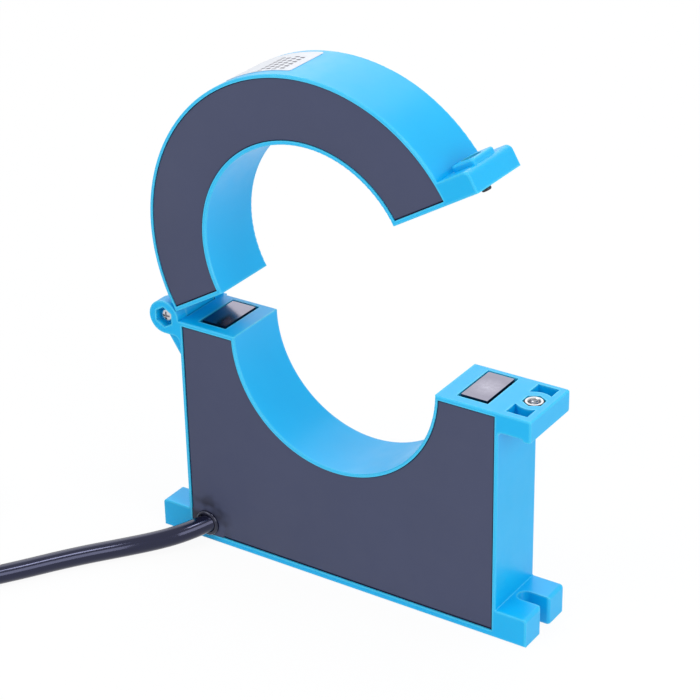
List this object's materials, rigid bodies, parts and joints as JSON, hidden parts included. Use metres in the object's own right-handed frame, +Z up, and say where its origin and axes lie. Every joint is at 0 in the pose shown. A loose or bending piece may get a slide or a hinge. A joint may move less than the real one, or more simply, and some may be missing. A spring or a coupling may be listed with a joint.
{
  "type": "split-core current transformer",
  "caption": "Split-core current transformer with a hinged arm held open, a round conductor window, potted core halves, slotted feet, a latch screw and a coiled output cable.",
  "frame": {"origin": "middle of the flat underside of the base", "axes": "+X to the latch side, +Y to the back, away from the potted face, +Z up"},
  "size_m": [0.3115, 0.1299, 0.1964],
  "materials": {
    "case_blue": "satin moulded blue plastic",
    "potting_resin": "smooth cast resin",
    "core_steel": "ground core faces",
    "zinc_steel": "zinc plated",
    "nut_brass": "plated brass",
    "winding_copper": "enamelled copper wire",
    "former_plastic": "moulded",
    "tape": "polyester tape",
    "board": "solder mask",
    "resistor_body": "lacquered",
    "suppressor_body": "dipped coating",
    "wire": "insulated wire",
    "tinned_copper": "tinned",
    "cable_jacket": "satin extruded jacket",
    "collar_plastic": "moulded",
    "tie_nylon": "moulded nylon",
    "label_film": "silver grey film"
  },
  "bodies": {
    "base": {"lower_case": "case_blue", "lower_potting": "potting_resin", "lower_core": "core_steel", "winding_former": "former_plastic", "secondary_winding": "winding_copper", "winding_tape": "tape", "circuit_board": "board", "burden_resistor": "resistor_body", "surge_suppressor": "suppressor_body", "winding_leads": "wire", "cable_tail": "cable_jacket", "tail_cores": "tinned_copper", "cable_collar": "collar_plastic", "signal_cable": "cable_jacket", "cable_coil": "cable_jacket", "coil_tie": "tie_nylon", "cable_end_cores": "wire", "end_ferrules": "tinned_copper", "hinge_screw": "zinc_steel", "hinge_nut": "zinc_steel", "latch_nut": "nut_brass"},
    "arm": {"upper_case": "case_blue", "upper_potting": "potting_resin", "upper_core": "core_steel", "rating_label": "label_film", "screw_retainer": "tie_nylon"},
    "screw_carrier": {"spring_washer": "zinc_steel"},
    "latch_screw": {"latch_screw": "zinc_steel"}
  },
  "joints": [
    {"name": "arm_hinge", "type": "hinge", "parent": "base", "child": "arm", "pos_m": [-0.0743, 0, 0.09115], "axis": [0, -1, 0], "range_deg": [-30.4, 149.6]},
    {"name": "latch_screw_travel", "type": "slide", "parent": "arm", "child": "screw_carrier", "axis": [-0.506, 0, 0.8625], "range_m": [-0.0015, 0.0015]},
    {"name": "latch_screw_turn", "type": "hinge", "parent": "screw_carrier", "child": "latch_screw", "pos_m": [0.05327, 0, 0.16599], "axis": [-0.506, 0, 0.8625], "continuous": true}
  ]
}
